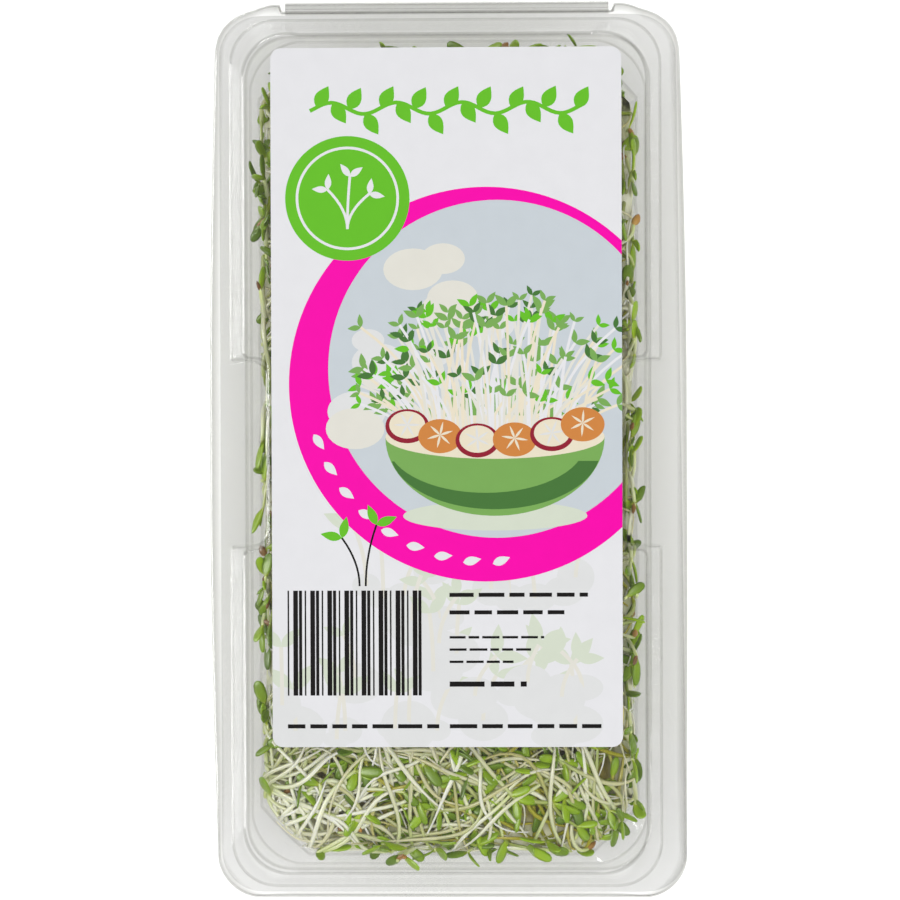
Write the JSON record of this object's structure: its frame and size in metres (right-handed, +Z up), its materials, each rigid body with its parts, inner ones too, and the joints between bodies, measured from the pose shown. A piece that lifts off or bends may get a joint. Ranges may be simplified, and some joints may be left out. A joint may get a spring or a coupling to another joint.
{
  "type": "pack of alfalfa sprouts",
  "caption": "Clear hinged pack full of alfalfa sprouts: deep tray, raised lid with finger recesses, paper label, pale stems and green seed leaves.",
  "frame": {"origin": "centre of the pack's footprint, on the surface that the tray stands on", "axes": "+Y along the pack's length towards the lid's hinge, +X across its width, +Z up"},
  "size_m": [0.1108, 0.2078, 0.0453],
  "materials": {
    "clear_sheet": "gloss",
    "label_paper": "satin",
    "sprout": "satin"
  },
  "bodies": {
    "tray": {"tray": "clear_sheet", "sprouts": "sprout"},
    "lid": {"lid": "clear_sheet", "label": "label_paper"}
  },
  "joints": [
    {"name": "lid_hinge", "type": "hinge", "parent": "tray", "child": "lid", "pos_m": [0, 0.10405, 0.03215], "axis": [-1, 0, 0], "range_deg": [0, 180]}
  ]
}
